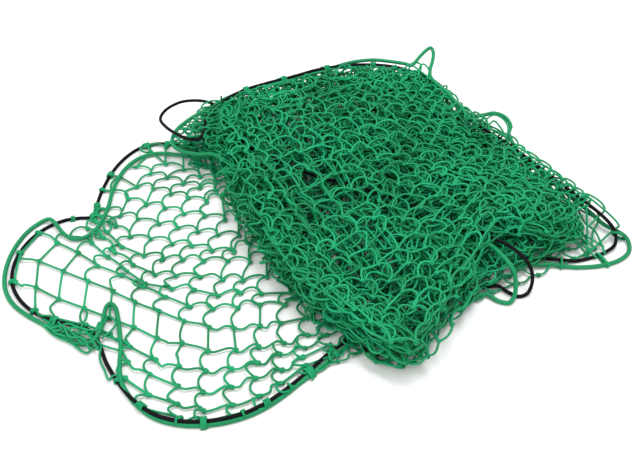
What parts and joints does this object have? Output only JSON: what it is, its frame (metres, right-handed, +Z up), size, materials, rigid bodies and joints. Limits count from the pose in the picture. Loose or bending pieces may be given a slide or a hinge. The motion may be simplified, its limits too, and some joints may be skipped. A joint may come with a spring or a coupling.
{
  "type": "cargo net",
  "caption": "Knotted green cargo net with a black elastic cord and a green rope round its edge, folded back and forth into a low pile with a single layer spread out beside it.",
  "frame": {"origin": "on the floor under the middle of the whole net's box", "axes": "+Z up from the floor the net lies on; +X along the longest extent, from the spread single layer towards the pile; +Y towards the back of the pile, where the rope's pointed bight stands up"},
  "size_m": [1.1212, 0.8928, 0.104],
  "materials": {
    "green_twine": "knotted polypropylene twine, slightly glossy",
    "black_elastic": "black braided sleeve over a rubber core",
    "green_rope": "laid polypropylene rope"
  },
  "bodies": {
    "root": {"netting": "green_twine", "elastic_cord": "black_elastic", "border_rope": "green_rope"}
  },
  "joints": []
}
